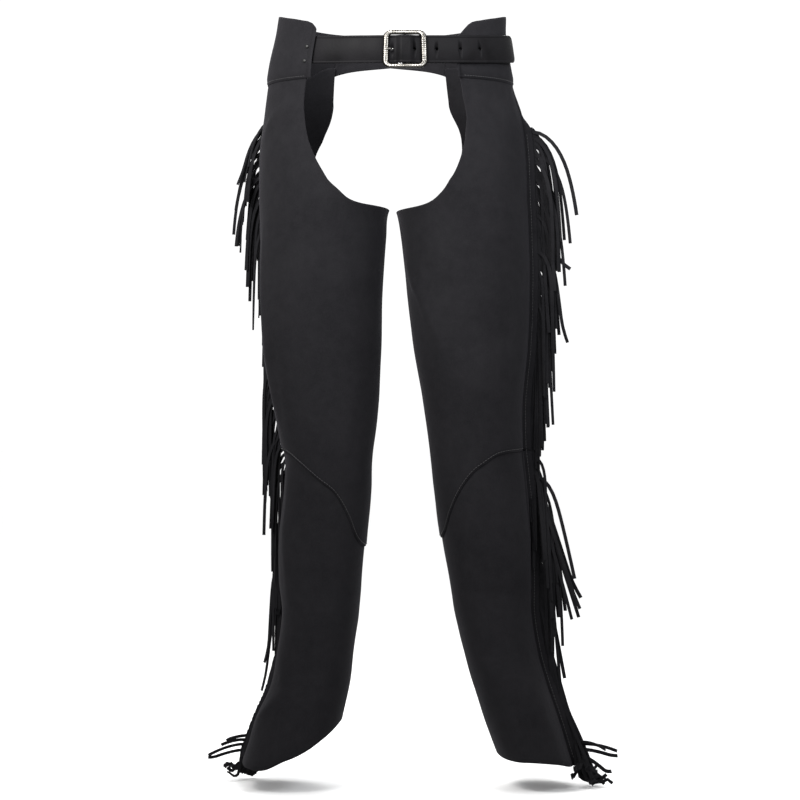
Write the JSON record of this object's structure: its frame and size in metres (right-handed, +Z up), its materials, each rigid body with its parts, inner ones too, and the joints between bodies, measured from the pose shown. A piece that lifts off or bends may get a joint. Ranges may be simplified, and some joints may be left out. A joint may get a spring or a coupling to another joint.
{
  "type": "fringed leather chaps",
  "caption": "Full-length black suede chaps in their worn shape, with hip yokes, slanted knee seams, long outseam fringe and a buckled front belt.",
  "frame": {"origin": "centre of the waist opening, at the belt's height at the side of the hips", "axes": "+Z up the body, -Y the wearer's front where the belt buckles, -X the wearer's right leg"},
  "size_m": [0.5754, 0.2749, 1.0663],
  "materials": {
    "suede": "matte napped suede, black",
    "belt_leather": "smooth, slight gloss, black",
    "silver_metal": "polished silver-coloured metal"
  },
  "bodies": {
    "root": {"yoke_right": "suede", "thigh_right": "suede", "shin_right": "suede", "fringe_thigh_right": "suede", "fringe_shin_right": "suede", "yoke_left": "suede", "thigh_left": "suede", "shin_left": "suede", "fringe_thigh_left": "suede", "fringe_shin_left": "suede", "belt_billet": "belt_leather", "belt_buckle_strap": "belt_leather", "buckle_frame": "silver_metal", "buckle_prong": "silver_metal", "rivet_1": "silver_metal", "rivet_2": "silver_metal"}
  },
  "joints": []
}
